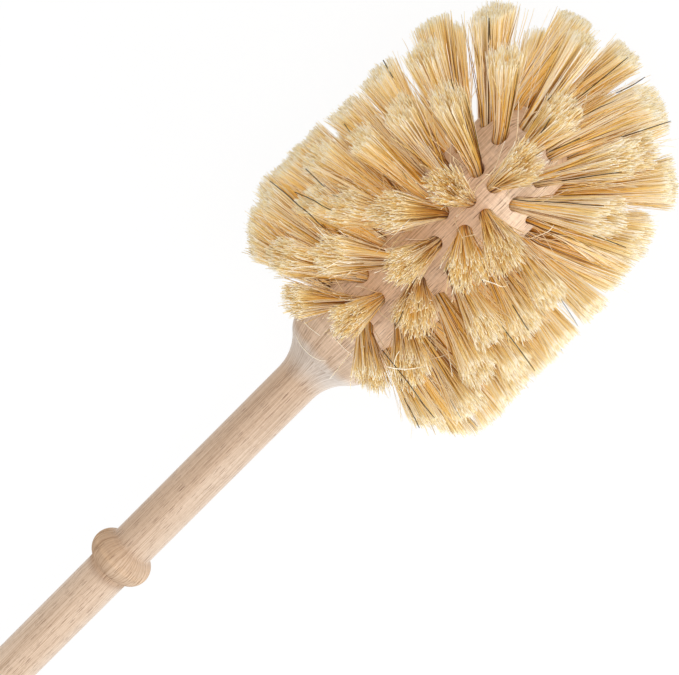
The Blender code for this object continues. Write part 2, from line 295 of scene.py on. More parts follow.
# Single hairs that lie across the tufts and on the wood: their tone, then points in millimetres
PALE_HAIR = 0.93
DARK_HAIR = 0.985
HAIR_RADII = {PALE_HAIR: 0.000135, DARK_HAIR: 0.00016}
HAIR_STEPS = 12
HAIR_SHARES = tuple(step / HAIR_STEPS for step in range(HAIR_STEPS + 1))
HAIR_FACING = (0.2, 0.1, 1.0)
LAID_HAIRS = (
    (PALE_HAIR, (235.2, 12.4, 10.4), (234.4, 9.1, 12.7), (234.4, 5.6, 14.6),
     (234.9, 2.7, 15.7), (236.2, -0.4, 16.8), (237.8, -2.0, 17.5)),
    (PALE_HAIR, (247.7, 5.2, 19.7), (247.0, 3.4, 19.9), (246.5, 1.6, 20.1),
     (246.2, -2.9, 19.9), (246.3, -7.9, 18.5)),
    (PALE_HAIR, (241.3, 13.3, 13.4), (241.7, 10.6, 15.8), (243.0, 5.7, 18.5)),
    (PALE_HAIR, (281.9, 12.1, 37.7), (286.8, 12.1, 31.7), (297.6, 11.7, 59.7),
     (301.9, 11.8, 53.9)),
    (PALE_HAIR, (258.4, 28.8, 49.3), (262.9, 26.6, 52.4), (267.4, 22.8, 55.5),
     (270.1, 19.6, 59.0)),
    (PALE_HAIR, (307.7, 1.6, 21.6), (307.2, -0.4, 27.9), (307.2, -2.8, 34.0),
     (307.2, -5.7, 40.2)),
    (PALE_HAIR, (321.3, -21.8, 26.8), (328.4, -24.3, 33.8), (331.7, -24.3, 33.0)),
    (PALE_HAIR, (304.7, -19.6, 56.9), (306.4, -23.1, 56.4), (306.9, -26.2, 51.6),
     (306.0, -27.6, 36.9), (307.1, -27.0, 36.7), (306.2, -26.0, 34.8)),
    (PALE_HAIR, (261.7, -17.9, 62.3), (262.8, -20.4, 60.0), (264.6, -23.0, 57.6),
     (266.5, -25.0, 55.1), (268.6, -26.8, 52.6)),
    (PALE_HAIR, (267.1, -17.2, 55.8), (264.7, -17.9, 56.4), (262.4, -19.5, 56.9),
     (260.4, -22.0, 57.3)),
    (PALE_HAIR, (270.9, -22.4, 49.2), (270.0, -26.4, 52.5), (268.1, -30.7, 52.2)),
    (PALE_HAIR, (274.3, 37.6, 39.8), (276.2, 31.6, 51.4), (276.1, 26.1, 52.3)),
    (PALE_HAIR, (288.8, 49.9, 36.0), (288.0, 46.0, 34.1), (287.3, 41.6, 32.2)),
    (PALE_HAIR, (266.1, 14.0, 32.7), (271.9, 13.7, 48.1), (274.1, 13.7, 47.2)),
    (PALE_HAIR, (293.7, -3.2, 41.7), (291.1, -3.0, 50.4), (287.5, -3.9, 59.5)),
    (PALE_HAIR, (276.6, 15.2, 55.9), (274.0, 18.8, 56.5), (270.1, 20.0, 57.4)),
    (DARK_HAIR, (328.6, 57.8, 20.3), (327.9, 54.2, 22.5), (327.2, 50.7, 24.7)),
    (DARK_HAIR, (303.0, 52.0, 20.0), (304.2, 49.8, 28.9), (305.3, 47.6, 37.9)),
    (DARK_HAIR, (271.1, 56.3, 25.6), (274.7, 48.4, 39.8), (275.7, 42.8, 43.8),
     (276.3, 37.5, 43.8), (276.1, 33.0, 42.9), (275.0, 30.0, 35.1)),
    (DARK_HAIR, (284.6, 49.9, 33.5), (285.6, 46.0, 38.4), (286.5, 41.3, 43.3),
     (287.7, 40.2, 48.1)),
    (DARK_HAIR, (277.9, 46.4, 42.6), (280.9, 40.1, 45.5), (282.2, 36.1, 47.4),
     (283.3, 32.8, 47.1)),
    (DARK_HAIR, (365.1, 41.5, 24.5), (362.3, 38.5, 24.1), (360.0, 36.0, 23.6)),
    (DARK_HAIR, (366.8, 0.4, 5.3), (377.1, -0.6, 11.2), (388.6, -1.6, 16.9)),
    (DARK_HAIR, (377.0, -7.4, 17.0), (382.8, -9.3, 22.9), (388.6, -10.4, 28.8)),
    (DARK_HAIR, (368.8, -19.1, 30.7), (376.5, -23.2, 29.0), (383.7, -27.5, 18.9)),
    (DARK_HAIR, (343.6, -15.6, 27.4), (353.1, -21.4, 36.6), (362.1, -27.3, 45.8)),
    (DARK_HAIR, (295.9, -36.1, 43.4), (294.8, -44.5, 43.6), (291.5, -55.4, 34.6)),
    (DARK_HAIR, (340.7, -35.5, 50.0), (341.9, -41.0, 39.5), (343.2, -47.2, 29.0)),
    (DARK_HAIR, (261.9, -12.9, 50.0), (262.7, -19.4, 57.2), (261.0, -27.7, 53.8),
     (258.5, -35.8, 48.8), (256.0, -42.5, 40.6)),
    (DARK_HAIR, (346.5, -5.5, 17.8), (351.5, -7.4, 18.8), (357.6, -9.6, 19.5)),
    (DARK_HAIR, (351.7, 1.1, 41.7), (355.1, 1.6, 47.1), (358.3, 2.3, 52.5)),
    (DARK_HAIR, (303.8, -33.4, 44.3), (302.4, -38.9, 43.6), (301.3, -43.5, 42.8)),
    (DARK_HAIR, (359.1, 7.4, 22.1), (360.4, 7.6, 21.8), (361.5, 7.7, 21.6)),
    (DARK_HAIR, (250.8, -30.6, 28.9), (250.4, -34.8, 33.1), (250.1, -38.4, 37.2),
     (249.9, -41.3, 41.4)),
)

# Studio: each lamp's place, width and power
WORLD_LIGHT = 0.95
LAMPS = {
    "key": ((0.45, -1.0, 0.55), 0.6, 5),
    "front": ((0.5, -0.1, 1.3), 0.8, 4.5),
}
LAMP_TARGET = Vector((0.28, 0, 0))
FLOOR_SIZE = 6
FLOOR_MIDDLE = 0.2
FLOOR_GREY = 0.9
FLOOR_WHITE_SHARE = 0.92

RING_STATIONS = [SHOULDER + FIRST_RING + index * RING_PITCH for index in range(len(RINGS))]
CROWN_START = RING_STATIONS[-1] + RING_PITCH / 2
BLOCK_END = CROWN_START + CROWN_LENGTH
DOME_START = BLOCK_END - DOME_LENGTH
FREE_LENGTH = TRIM_RADIUS - BLOCK_RADIUS
TRIM_CENTRE = BLOCK_END + CROWN_FREE_LENGTH - TRIM_RADIUS
COVE_SWEEP = math.acos(1 - (SHOULDER_RADIUS - HANDLE_RADIUS) / COVE_RADIUS)
ROUNDING_CENTRE = (
    SHOULDER + SHOULDER_ROUNDING * math.sin(COVE_SWEEP),
    SHOULDER_RADIUS - SHOULDER_ROUNDING * math.cos(COVE_SWEEP),
)
SWELL_START = ROUNDING_CENTRE[0] - SHOULDER_ROUNDING * math.sin(SWELL_ANGLE)
SWELL_START_RADIUS = ROUNDING_CENTRE[1] + SHOULDER_ROUNDING * math.cos(SWELL_ANGLE)
FLOOR_HEIGHT = CAD_BOX[0].z


def deselect_all():
    for thing in bpy.context.selected_objects:
        thing.select_set(False)


def make_active(thing):
    deselect_all()
    thing.select_set(True)
    bpy.context.view_layer.objects.active = thing


def block_radius(x):
    """The wood's radius at a station of the block: swell, straight part or dome."""
    if x < SWELL_START + SWELL_LENGTH:
        left = 1 - (x - SWELL_START) / SWELL_LENGTH
        return BLOCK_RADIUS - (BLOCK_RADIUS - SWELL_START_RADIUS) * left ** 2
    if x > DOME_START:
        share = min((x - DOME_START) / DOME_LENGTH, 1.0)
        return BLOCK_RADIUS * math.sqrt(1 - share ** 2)
    return BLOCK_RADIUS


def dome_station(radius):
    """Where the dome's surface is at a distance from the axis."""
    return DOME_START + DOME_LENGTH * math.sqrt(1 - (radius / BLOCK_RADIUS) ** 2)


def arc(centre, radius, start, end, steps):
    """Points along an arc, from one angle to the other in degrees."""
    angles = [math.radians(start + (end - start) * step / steps) for step in range(steps + 1)]
    return [(centre[0] + radius * math.cos(a), centre[1] + radius * math.sin(a)) for a in angles]


def bead_outline():
    """A round ring with a small hollow fillet on either side, where it meets the handle."""
    rise = BEAD_RADIUS - HANDLE_RADIUS
    radius = (BEAD_HALF_WIDTH ** 2 + rise ** 2) / (2 * rise)
    middle = BEAD_RADIUS - radius
    height = HANDLE_RADIUS + BEAD_FILLET - middle
    reach = math.sqrt((radius + BEAD_FILLET) ** 2 - height ** 2)
    slope = math.degrees(math.atan2(height, reach))
    lower = (BEAD_CENTRE - reach, HANDLE_RADIUS + BEAD_FILLET)
    upper = (BEAD_CENTRE + reach, HANDLE_RADIUS + BEAD_FILLET)
    points = arc(lower, BEAD_FILLET, -90, -slope, FILLET_STEPS)
    points += arc((BEAD_CENTRE, middle), radius, 180 - slope, slope, BEAD_STEPS)[1:-1]
    points += arc(upper, BEAD_FILLET, 180 + slope, 270, FILLET_STEPS)
    return points


def shoulder_outline():
    """The cove, and the rounding that leads to the swell."""
    start = SHOULDER - COVE_RADIUS * math.sin(COVE_SWEEP)
    sweep = math.degrees(COVE_SWEEP)
    end = 90 + math.degrees(SWELL_ANGLE)
    cove_centre = (start, HANDLE_RADIUS + COVE_RADIUS)
    points = arc(cove_centre, COVE_RADIUS, -90, -90 + sweep, COVE_STEPS)
    return points + arc(ROUNDING_CENTRE, SHOULDER_ROUNDING, 90 + sweep, end, ROUNDING_STEPS)[1:]


def body_outline():
    """Points of (station, radius) from the middle of the butt to the tip of the dome."""
    edge = HANDLE_RADIUS - BUTT_FLAT_RADIUS
    points = [(0.0, 0.0)]
    points += arc((edge, HANDLE_RADIUS - edge), edge, 180, 90, BUTT_STEPS)
    points += bead_outline()
    points += shoulder_outline()
    for step in range(1, BLOCK_STEPS + 1):
        x = SWELL_START + SWELL_LENGTH * step / BLOCK_STEPS
        points.append((x, block_radius(x)))
    for step in range(BLOCK_STEPS + 1):
        angle = math.radians(90 * step / BLOCK_STEPS)
        x = DOME_START + DOME_LENGTH * math.sin(angle)
        points.append((x, BLOCK_RADIUS * math.cos(angle)))
    points[-1] = (BLOCK_END, 0.0)
    return points


def turn_profile(name, outline, segments):
    """Draw the outline by extruding one point along it, then spin it round the X axis."""
    deselect_all()
    bpy.ops.mesh.primitive_plane_add(size=0.001, location=(outline[0][0], 0, outline[0][1]))
    body = bpy.context.active_object
    body.name = name
    bpy.ops.object.transform_apply(location=True, rotation=True, scale=True)
    bpy.ops.object.mode_set(mode="EDIT")
    bpy.ops.mesh.select_all(action="SELECT")
    bpy.ops.mesh.merge(type="CENTER")
    for (x, z), (next_x, next_z) in zip(outline, outline[1:]):
        step = (next_x - x, 0, next_z - z)
        bpy.ops.mesh.extrude_vertices_move(TRANSFORM_OT_translate={"value": step})
    bpy.ops.mesh.select_all(action="SELECT")
    bpy.ops.mesh.spin(
        steps=segments, angle=math.tau, use_auto_merge=True, center=(0, 0, 0), axis=(1, 0, 0)
    )
    bpy.ops.mesh.select_all(action="SELECT")
    bpy.ops.mesh.remove_doubles(threshold=1e-6)
    bpy.ops.mesh.normals_make_consistent(inside=False)
    bpy.ops.object.mode_set(mode="OBJECT")
    return body


def make_camera():
    """The photograph's view: from a little towards the tip, with the brush lying slantwise."""
    back = Vector((math.sin(TIP_TILT), 0, math.cos(TIP_TILT)))
    along = Vector((math.cos(TIP_TILT), 0, -math.sin(TIP_TILT)))
    across = Vector((0, -1, 0))
    right = (along + across).normalized()
    up = (along - across).normalized()
    camera = bpy.data.objects.new("camera", bpy.data.cameras.new("camera"))
    bpy.context.scene.collection.objects.link(camera)
    turn = Matrix((right, up, back)).transposed().to_4x4()
    camera.matrix_world = Matrix.Translation(AIM + back * CAMERA_DISTANCE) @ turn
    camera.data.sensor_width = SENSOR_WIDTH
    focal_pixels = CAMERA_DISTANCE / METRES_PER_PIXEL
    camera.data.lens = focal_pixels * SENSOR_WIDTH / IMAGE_WIDTH
    camera.data.clip_start = 0.01
    camera.data.clip_end = 20
    bpy.context.scene.camera = camera


def new_material(name):
    material = bpy.data.materials.new(name)
    material.use_nodes = True
    return material, material.node_tree.nodes, material.node_tree.links


def ramp(nodes, name, stops):
    """A colour ramp from (place, colour) pairs."""
    node = nodes.new("ShaderNodeValToRGB")
    node.name = node.label = name
    elements = node.color_ramp.elements
    while len(elements) > 1:
        elements.remove(elements[-1])
    elements[0].position = stops[0][0]
    elements[0].color = (*stops[0][1], 1)
    for place, colour in stops[1:]:
        elements.new(place).color = (*colour, 1)
    return node


def mix_colour(nodes, links, name, kind, factor, under, over):
    """A colour mix whose factor is a socket or a number."""
    node = nodes.new("ShaderNodeMix")
    node.data_type = "RGBA"
    node.blend_type = kind
    node.name = node.label = name
    if isinstance(factor, (int, float)):
        node.inputs[0].default_value = factor
    else:
        links.new(factor, node.inputs[0])
    for socket, value in ((node.inputs[6], under), (node.inputs[7], over)):
        if isinstance(value, tuple):
            socket.default_value = (*value, 1)
        else:
            links.new(value, socket)
    return node.outputs[2]


def noise(nodes, links, name, vector, scale, detail, roughness=0.5):
    node = nodes.new("ShaderNodeTexNoise")
    node.name = node.label = name
    links.new(vector, node.inputs["Vector"])
    node.inputs["Scale"].default_value = scale
    node.inputs["Detail"].default_value = detail
    node.inputs["Roughness"].default_value = roughness
    return node.outputs["Fac"]


def mapped(nodes, links, name, vector, scale):
    node = nodes.new("ShaderNodeMapping")
    node.name = node.label = name
    links.new(vector, node.inputs["Vector"])
    node.inputs["Scale"].default_value = scale
    return node.outputs["Vector"]


def ranged(nodes, links, name, value, low, high, to_low=0.0, to_high=1.0):
    """A value brought from low and high to 0 and 1, or to the two ends that are given."""
    node = nodes.new("ShaderNodeMapRange")
    node.name = node.label = name
    links.new(value, node.inputs["Value"])
    node.inputs["From Min"].default_value = low
    node.inputs["From Max"].default_value = high
    node.inputs["To Min"].default_value = to_low
    node.inputs["To Max"].default_value = to_high
    return node.outputs["Result"]


def times(nodes, links, name, value, factor):
    node = nodes.new("ShaderNodeMath")
    node.name = node.label = name
    node.operation = "MULTIPLY"
    links.new(value, node.inputs[0])
    if isinstance(factor, (int, float)):
        node.inputs[1].default_value = factor
    else:
        links.new(factor, node.inputs[1])
    return node.outputs[0]


def vector_step(nodes, links, name, operation, first, second=None):
    node = nodes.new("ShaderNodeVectorMath")
    node.name = node.label = name
    node.operation = operation
    links.new(first, node.inputs[0])
    if isinstance(second, tuple):
        node.inputs[1].default_value = second
    elif second is not None:
        links.new(second, node.inputs[1])
    return node.outputs[0]


def unrolled(nodes, links, place, station):
    """The place with its distance from the axis evened out, so that marks run along every slope."""
    across = vector_step(nodes, links, "across the axis", "MULTIPLY", place, (0, 1, 1))
    round_way = vector_step(nodes, links, "way round", "NORMALIZE", across)
    changed = SHOULDER + EVEN_CHANGE
    width = ranged(nodes, links, "width there", station, SHOULDER, changed, *EVEN_RADII)
    sized = vector_step(nodes, links, "even width", "MULTIPLY", round_way, width)
    along = vector_step(nodes, links, "along the axis", "MULTIPLY", place, (1, 0, 0))
    return vector_step(nodes, links, "unrolled", "ADD", along, sized)


def flecks(nodes, links, name, vector, length, width, size):
    """A mask of thin dashes along the grain, some faint and some strong."""
    scale = (1 / length, 1 / width, 1 / width)
    cell_place = mapped(nodes, links, name + " run along", vector, scale)
    cells = nodes.new("ShaderNodeTexVoronoi")
    cells.name = cells.label = name
    cells.inputs["Scale"].default_value = 1
    links.new(cell_place, cells.inputs["Vector"])
    spot = ranged(nodes, links, name + " outline", cells.outputs["Distance"], size, size * 0.7)
    colour = nodes.new("ShaderNodeSeparateColor")
    links.new(cells.outputs["Color"], colour.inputs[0])
    strength = ranged(nodes, links, name + " strength", colour.outputs[0], 0.2, 0.8)
    return times(nodes, links, name + " mask", spot, strength)


def between_stations(nodes, links, name, station, stations):
    """A mask that rises between the first two stations and falls between the last two."""
    rise = ranged(nodes, links, name + " starts", station, stations[0], stations[1])
    fall = ranged(nodes, links, name + " ends", station, stations[3], stations[2])
    return times(nodes, links, name, rise, fall)


def make_beech():
    """Sanded raw beech: soft growth bands, fine grain, thin dark pores and pale end grain, with
    painted light and shade on one side, on the head, at the bead and at glancing edges.
    """
    material, nodes, links = new_material("beech")
    shader = nodes["Principled BSDF"]
    place = nodes.new("ShaderNodeTexCoord").outputs["Object"]
    spots = nodes.new("ShaderNodeSeparateXYZ")
    links.new(place, spots.inputs[0])
    station = spots.outputs["X"]
    surface = unrolled(nodes, links, place, station)

    band_place = mapped(nodes, links, "growth bands run along", place, BAND_SCALE)
    bands = noise(nodes, links, "growth bands", band_place, 1, 3, 0.55)
    band_tone = ramp(nodes, "band tone", (
        (0.32, (0.473, 0.325, 0.217)),
        (0.50, (0.533, 0.381, 0.268)),
        (0.68, (0.575, 0.429, 0.314)),
    ))
    links.new(bands, band_tone.inputs[0])
    wander = noise(nodes, links, "edge wanders", place, 150, 1)
    moved = nodes.new("ShaderNodeMath")
    moved.operation = "ADD"
    links.new(station, moved.inputs[0])
    links.new(ranged(nodes, links, "wander", wander, 0.3, 0.7, -0.0007, 0.0007), moved.inputs[1])
    end_mask = between_stations(nodes, links, "end grain", moved.outputs[0], END_GRAIN_STATIONS)
    end_share = times(nodes, links, "end grain share", end_mask, 0.78)
    end_colour = (0.56, 0.48, 0.415)
    ground = mix_colour(
        nodes, links, "end grain over", "MIX", end_share, band_tone.outputs[0], end_colour
    )
    grain_place = mapped(nodes, links, "grain runs along", surface, GRAIN_SCALE)
    grain = noise(nodes, links, "grain", grain_place, 1, 3, 0.6)
    grain_tone = ramp(nodes, "grain tone", (
        (0.3, (0.66, 0.60, 0.53)),
        (0.5, (1, 1, 1)),
        (0.7, (1.15, 1.19, 1.23)),
    ))
    links.new(grain, grain_tone.inputs[0])
    base = mix_colour(
        nodes, links, "grain on bands", "MULTIPLY", 1.0, ground, grain_tone.outputs[0]
    )

    # Painted light and shade: the wood is paler on the side towards the key lamp and browner on the
    # other side.
    painted_side_light_and_shade = ramp(nodes, "painted light and shade by side", (
        (0.0, (1.16, 1.22, 1.27)),
        (0.24, (1.00, 1.05, 1.10)),
        (0.48, (1, 1, 1)),
        (0.76, (0.92, 0.90, 0.87)),
        (1.0, (0.88, 0.85, 0.81)),
    ))
    head_radius = EVEN_RADII[1]
    sideways = ranged(
        nodes, links, "across the brush", spots.outputs["Y"], -head_radius, head_radius
    )
    links.new(sideways, painted_side_light_and_shade.inputs[0])
    base = mix_colour(nodes, links, "painted side light over", "MULTIPLY", 1.0, base, painted_side_light_and_shade.outputs[0])
    # Painted shade on the handle just beside the bead and a little on its flanks, and a painted
    # highlight along its crest.
    painted_bead_shade_and_highlight = ramp(nodes, "painted shade and highlight at the bead", (
        (0.0, (1.06, 1.07, 1.08)),
        (0.12, (0.84, 0.80, 0.77)),
        (0.30, (0.93, 0.90, 0.87)),
        (0.46, (0.97, 0.95, 0.92)),
        (0.52, (1.08, 1.04, 0.98)),
        (0.60, (0.96, 0.93, 0.90)),
        (0.80, (0.95, 0.92, 0.89)),
        (1.0, (1, 1, 1)),
    ))
    bead_place = ranged(nodes, links, "across the bead", station, *BEAD_LIGHT_STATIONS)
    links.new(bead_place, painted_bead_shade_and_highlight.inputs[0])
    base = mix_colour(nodes, links, "painted bead light over", "MULTIPLY", 1.0, base, painted_bead_shade_and_highlight.outputs[0])
    # Painted light: the head's wood is made paler all over, standing in for light thrown onto it by
    # the fibres.
    painted_head_light_share = ranged(nodes, links, "painted head light", station, *PAINTED_HEAD_LIGHT_STATIONS)
    painted_head_light_colour = (1.36, 1.42, 1.49)
    base = mix_colour(nodes, links, "painted head light over", "MULTIPLY", painted_head_light_share, base, painted_head_light_colour)

    turned_place = mapped(nodes, links, "turning marks run round", place, TURNING_SCALE)
    turned = noise(nodes, links, "turning marks", turned_place, 1, 2, 0.6)
    turned_tone = ramp(nodes, "turning tone", (
        (0.35, (0.95, 0.94, 0.93)),
        (0.5, (1, 1, 1)),
        (0.68, (1.06, 1.07, 1.08)),
    ))
    links.new(turned, turned_tone.inputs[0])
    turned_share = ranged(
        nodes, links, "turning marks show on the swell", station, *TURNING_STATIONS, 0.35, 1.0
    )
    base = mix_colour(
        nodes, links, "turning marks over", "MULTIPLY", turned_share, base, turned_tone.outputs[0]
    )

    pores = flecks(nodes, links, "pores", surface, *PORES)
    fine_pores = flecks(nodes, links, "fine pores", surface, *FINE_PORES)
    end_hides = ranged(nodes, links, "end grain hides", end_mask, 0, 1, 1.0, 0.45)
    clear = times(nodes, links, "fainter in end grain", pores, end_hides)
    faint = times(nodes, links, "faint", fine_pores, 0.55)
    base = mix_colour(nodes, links, "fine pores over", "MIX", faint, base, (0.24, 0.13, 0.075))
    base = mix_colour(nodes, links, "pores over", "MIX", clear, base, (0.17, 0.085, 0.045))
    # Painted sheen: off the bead, the colour turns pale grey where the surface is seen at a
    # glancing angle.
    edge = nodes.new("ShaderNodeLayerWeight")
    edge.inputs["Blend"].default_value = 0.5
    glancing = ranged(nodes, links, "glancing", edge.outputs["Facing"], 0.62, 0.97, 0.0, 0.35)
    on_bead = between_stations(nodes, links, "bead", station, BEAD_STATIONS)
    off_bead = ranged(nodes, links, "no edge sheen and no shine on the bead", on_bead, 0, 1, 1.0, 0.0)
    painted_edge_sheen = times(nodes, links, "painted_edge_sheen", glancing, off_bead)
    base = mix_colour(nodes, links, "painted sheen at the edge", "MIX", painted_edge_sheen, base, (0.66, 0.60, 0.55))
    links.new(base, shader.inputs["Base Color"])

    links.new(times(nodes, links, "sheen", off_bead, 0.2), shader.inputs["Sheen Weight"])
    shine_level = times(nodes, links, "shine level", off_bead, 0.5)
    links.new(shine_level, shader.inputs["Specular IOR Level"])
    shader.inputs["Sheen Roughness"].default_value = 0.4
    shine = ramp(nodes, "shine", ((0.3, (0.66, 0.66, 0.66)), (0.7, (0.52, 0.52, 0.52))))
    links.new(grain, shine.inputs[0])
    links.new(shine.outputs[0], shader.inputs["Roughness"])
    bump = nodes.new("ShaderNodeBump")
    bump.inputs["Strength"].default_value = 0.35
    bump.inputs["Distance"].default_value = 0.0002
    relief = nodes.new("ShaderNodeMath")
    relief.operation = "SUBTRACT"
    links.new(grain, relief.inputs[0])
    links.new(pores, relief.inputs[1])
    links.new(relief.outputs[0], bump.inputs["Height"])
    links.new(bump.outputs["Normal"], shader.inputs["Normal"])
    return material


def make_plant_fibre():
    """Straw-coloured fibre, paler to its tip, with partly painted amber shade towards the root and
    painted shade between fibres at the hole. A piece's own map gives its tone and its length.
    """
    material, nodes, links = new_material("plant_fibre")
    shader = nodes["Principled BSDF"]
    strip = nodes.new("ShaderNodeUVMap")
    strip.uv_map = "fibre"
    parts = nodes.new("ShaderNodeSeparateXYZ")
    links.new(strip.outputs["UV"], parts.inputs[0])
    tone, along = parts.outputs["X"], parts.outputs["Y"]
    # Straw colour along the fibre, paler to the tip; the deeper amber towards the root is partly
    # painted shade, standing in for light bounced among the fibres.
    straw_with_painted_amber = ramp(nodes, "root to tip", (
        (0.0, (0.93, 0.60, 0.12)),
        (0.25, (0.97, 0.68, 0.17)),
        (0.70, (0.99, 0.76, 0.29)),
        (0.95, (1.0, 0.83, 0.45)),
        (1.0, (1.0, 0.88, 0.58)),
    ))
    links.new(along, straw_with_painted_amber.inputs[0])
    fibre_tone = ramp(nodes, "fibre to fibre", (
        (0.0, (0.24, 0.12, 0.04)),
        (0.14, (0.56, 0.38, 0.19)),
        (0.34, (0.89, 0.79, 0.58)),
        (0.54, (1.0, 1.0, 1.0)),
    ))
    links.new(tone, fibre_tone.inputs[0])
    tone_share = ranged(nodes, links, "tips are more alike", along, 0.6, 1.0, 1.0, 0.35)
    own, base = fibre_tone.outputs[0], straw_with_painted_amber.outputs[0]
    base = mix_colour(nodes, links, "each fibre", "MULTIPLY", tone_share, base, own)
    # Painted shade: near the hole each fibre is darkened again by its own tone, so the gaps between
    # fibres look deeper.
    painted_root_shade_share = ranged(nodes, links, "painted shade in the gaps at the hole", along, 0.1, 0.45, 0.75, 0.0)
    base = mix_colour(nodes, links, "painted shade at the hole over", "MULTIPLY", painted_root_shade_share, base, own)
    pale = ramp(nodes, "pale fibres", (
        (0.62, (0, 0, 0)),
        (0.90, (0.9, 0.9, 0.9)),
        (0.96, (0.9, 0.9, 0.9)),
        (0.965, (0, 0, 0)),
    ))
    links.new(tone, pale.inputs[0])
    pale_colour = (1.0, 0.94, 0.82)
    base = mix_colour(nodes, links, "pale fibres over", "MIX", pale.outputs[0], base, pale_colour)
    dark = ramp(nodes, "dark fibres", ((0.955, (0, 0, 0)), (0.97, (1, 1, 1))))
    links.new(tone, dark.inputs[0])
    dark_colour = (0.016, 0.008, 0.004)
    base = mix_colour(nodes, links, "dark fibres over", "MIX", dark.outputs[0], base, dark_colour)
    links.new(base, shader.inputs["Base Color"])
    shader.inputs["Roughness"].default_value = 0.5
    shine_level = ranged(nodes, links, "dark fibres are dull", dark.outputs[0], 0, 1, 0.45, 0.1)
    links.new(shine_level, shader.inputs["Specular IOR Level"])
    shader.inputs["Sheen Weight"].default_value = 0.08
    shader.inputs["Sheen Roughness"].default_value = 0.5
    shader.inputs["Sheen Tint"].default_value = (1.0, 0.88, 0.66, 1)

    # Light goes on from fibre to fibre far longer than a render follows it, so a ray that
    # has already bounced three times finds a fibre lit in its own colour
    path = nodes.new("ShaderNodeLightPath")
    lit = nodes.new("ShaderNodeEmission")
    links.new(base, lit.inputs["Color"])
    lit.inputs["Strength"].default_value = DEEP_GLOW
    deep = nodes.new("ShaderNodeMath")
    deep.operation = "GREATER_THAN"
    deep.inputs[1].default_value = DEEP_BOUNCES
    links.new(path.outputs["Diffuse Depth"], deep.inputs[0])
    mix = nodes.new("ShaderNodeMixShader")
    links.new(deep.outputs[0], mix.inputs["Fac"])
    links.new(shader.outputs[0], mix.inputs[1])
    links.new(lit.outputs[0], mix.inputs[2])
    links.new(mix.outputs[0], nodes["Material Output"].inputs["Surface"])
    material.cycles.emission_sampling = "NONE"
    return material


def make_cutter(places):
    """One drill bit with a slightly wider mouth, and a copy of it at every hole."""
    deselect_all()
    bpy.ops.mesh.primitive_circle_add(
        vertices=HOLE_SIDES, radius=HOLE_RADIUS, fill_type="NGON", location=(0, 0, -HOLE_DEPTH)
    )
    bit = bpy.context.active_object
    bit.name = "drill_bit"
    bpy.ops.object.transform_apply(location=True, rotation=True, scale=True)
    bpy.ops.object.mode_set(mode="EDIT")
    bpy.ops.mesh.select_all(action="SELECT")
    lift = {"value": (0, 0, HOLE_DEPTH - MOUTH_DEPTH)}
    bpy.ops.mesh.extrude_region_move(TRANSFORM_OT_translate=lift)
    bpy.ops.mesh.extrude_region_move(TRANSFORM_OT_translate={"value": (0, 0, 2 * MOUTH_DEPTH)})
    bpy.ops.transform.resize(value=(MOUTH_WIDENING, MOUTH_WIDENING, 1), center_override=(0, 0, 0))
    bpy.ops.mesh.extrude_region_move(TRANSFORM_OT_translate={"value": (0, 0, BIT_ABOVE)})
    bpy.ops.mesh.select_all(action="SELECT")
    bpy.ops.mesh.normals_make_consistent(inside=False)
    bpy.ops.object.mode_set(mode="OBJECT")
    copies = []
    for _, hole, drilled, _, _ in places:
        copy = bit.copy()
        copy.data = bit.data.copy()
        bpy.context.scene.collection.objects.link(copy)
        turn = Vector(drilled).to_track_quat("Z", "Y").to_matrix().to_4x4()
        copy.data.transform(Matrix.Translation(Vector(hole)) @ turn)
        copies.append(copy)
    bpy.data.objects.remove(bit)
    make_active(copies[0])
    for copy in copies:
        copy.select_set(True)
    bpy.ops.object.join()
    copies[0].name = "drill_bits"
    return copies[0]


def make_turned_body(places, material):
    """The handle and head block in one turning, drilled for every tuft."""
    body = turn_profile("turned_body", body_outline(), BODY_SEGMENTS)
    cutter = make_cutter(places)
    make_active(body)
    drill = body.modifiers.new("drilled", "BOOLEAN")
    drill.operation = "DIFFERENCE"
    drill.solver = "EXACT"
    drill.object = cutter
    bpy.ops.object.modifier_apply(modifier="drilled")
    bpy.data.objects.remove(cutter)
    bpy.ops.object.shade_smooth_by_angle(angle=SMOOTH_ANGLE)
    body.data.materials.append(material)
    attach(body, "root")
    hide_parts("turned_handle")


def tuft_places():
    """Every tuft: its ring, its hole's middle, the way the hole runs, its aim and its fullness."""
    rng = np.random.default_rng(FIBRE_SEED)
    places = []
    rings = list(zip(RINGS, RING_STATIONS)) + list(CROWN_RINGS)
    for number, ((count, lean, turn), place) in enumerate(rings, 1):
        for index in range(count):
            on_dome = number > len(RINGS)
            worn = (
                0 if on_dome else RING_SHIFTS[number - 1] + rng.normal(0, UNEVEN_SHIFT),
                rng.normal(0, UNEVEN_TWIST),
                lean + rng.normal(0, UNEVEN_LEAN),
                rng.normal(0, UNEVEN_SWING),
            )
            shift, twist, tilt, swing, *slimmer = WORN_TUFTS.get((number, index), worn)
            angle = math.tau * (index + turn) / count + math.radians(twist)
            outward = np.array((0, -math.sin(angle), math.cos(angle)))
            side = np.array((0, -math.cos(angle), -math.sin(angle)))
            ahead = np.array((1.0, 0, 0))
            if on_dome:
                radius = place + shift / 1000
                station = dome_station(radius)
            else:
                station = place + shift / 1000
                radius = block_radius(station)
            tilt, swing, lean_angle = math.radians(tilt), math.radians(swing), math.radians(lean)
            drilled = math.cos(lean_angle) * outward + math.sin(lean_angle) * ahead
            tilted = math.cos(tilt) * outward + math.sin(tilt) * ahead
            aim = math.cos(swing) * tilted + math.sin(swing) * side
            fullness = slimmer[0] if slimmer else 1.0
            places.append((number, ahead * station + outward * radius, drilled, aim, fullness))
    return places


